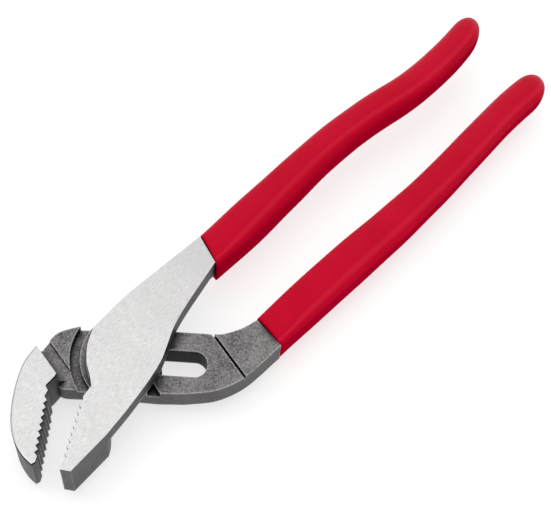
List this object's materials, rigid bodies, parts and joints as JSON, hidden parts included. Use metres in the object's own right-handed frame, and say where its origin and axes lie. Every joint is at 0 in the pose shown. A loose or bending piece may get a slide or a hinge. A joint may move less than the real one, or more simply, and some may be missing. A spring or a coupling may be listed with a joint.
{
  "type": "tongue and groove pliers",
  "caption": "Adjustable plumbing pliers with toothed offset jaws, a bolt that slides in a grooved slot, and dipped red handle grips.",
  "frame": {"origin": "on the bright front face, over the pivot bolt's axis at rest", "axes": "+Z out of the front face, +X away from the hook jaw, +Y towards the handles"},
  "size_m": [0.224, 0.1906, 0.0182],
  "materials": {
    "ground_steel": "ground flat, satin",
    "forged_steel": "as forged, fine grain",
    "plated_steel": "zinc plated",
    "grip_vinyl": "dipped vinyl, satin"
  },
  "bodies": {
    "groove_lever": {"groove_half": "forged_steel", "groove_half_grip": "grip_vinyl"},
    "pivot_carriage": {"pivot_washer": "plated_steel"},
    "tongue_lever": {"tongue_half": "ground_steel", "tongue_half_grip": "grip_vinyl", "pivot_bolt": "plated_steel", "pivot_nut": "plated_steel"}
  },
  "joints": [
    {"name": "slot_slide", "type": "slide", "parent": "groove_lever", "child": "pivot_carriage", "axis": [0.9978, -0.0663, 0], "range_m": [-0.00735, 0.02205]},
    {"name": "pivot_hinge", "type": "hinge", "parent": "pivot_carriage", "child": "tongue_lever", "pos_m": [0, 0, -0.00635], "axis": [0, 0, 1], "range_deg": [-1, 68]}
  ]
}
